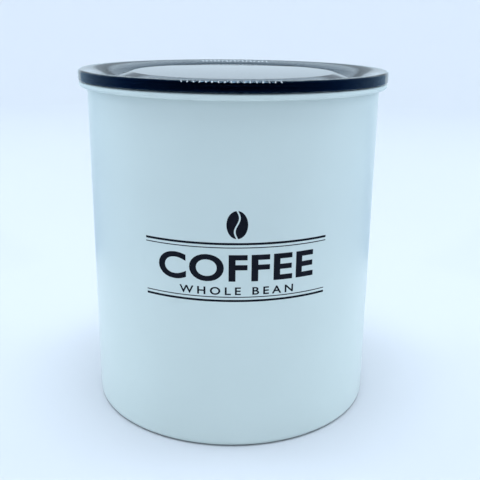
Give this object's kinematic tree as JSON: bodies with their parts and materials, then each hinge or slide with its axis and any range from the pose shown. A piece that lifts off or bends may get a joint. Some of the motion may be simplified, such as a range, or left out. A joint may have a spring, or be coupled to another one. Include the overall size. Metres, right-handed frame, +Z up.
{
  "type": "coffee canister",
  "caption": "Round coated steel coffee canister with a press-on lid over a sliding plunger lid that pushes the air out through a handle-worked valve.",
  "frame": {"origin": "on the can's axis, in the plane of the foot that it stands on", "axes": "+Z up along the can's axis, -Y towards the front where the print is, +X to the right seen from the front"},
  "size_m": [0.1818, 0.1818, 0.203],
  "materials": {
    "coated_steel": "satin pale powder coat",
    "bare_steel": "brushed stainless",
    "smoke_plastic": "glossy smoke-tinted moulding",
    "lid_seal": "dark soft seal",
    "black_plastic": "fine satin moulding",
    "clear_silicone": "milky silicone",
    "grey_plastic": "satin moulding",
    "spring_steel": "bright drawn wire",
    "handle_plastic": "satin moulding",
    "print_ink": "flat black screen print on the wall"
  },
  "bodies": {
    "can": {"can_wall": "coated_steel", "can_base": "bare_steel"},
    "lid": {"outer_lid": "smoke_plastic", "lid_gasket": "lid_seal"},
    "plunger": {"plunger_deck": "black_plastic", "plunger_gasket": "clear_silicone", "plunger_clamp_ring": "black_plastic", "valve_grille": "grey_plastic", "valve_housing": "grey_plastic", "valve_spring": "spring_steel"},
    "valve": {"valve_poppet": "grey_plastic", "valve_seal": "clear_silicone"},
    "handle": {"cam_shaft": "bare_steel", "bail_handle": "handle_plastic"}
  },
  "joints": [
    {"name": "lid_lift", "type": "slide", "parent": "can", "child": "lid", "axis": [0, 0, 1], "range_m": [0, 0.09]},
    {"name": "plunger_slide", "type": "slide", "parent": "can", "child": "plunger", "axis": [0, 0, 1], "range_m": [-0.116, 0]},
    {"name": "handle_fold", "type": "hinge", "parent": "plunger", "child": "handle", "pos_m": [0, 0, 0.1408], "axis": [1, 0, 0], "range_deg": [0, 90]},
    {"name": "valve_lift", "type": "slide", "parent": "plunger", "child": "valve", "axis": [0, 0, 1], "range_m": [0, 0.002], "deforming": ["valve_spring"]}
  ],
  "couplings": [
    {"joint": "valve_lift", "follows": "handle_fold", "m_per_rad": 0.00127}
  ]
}
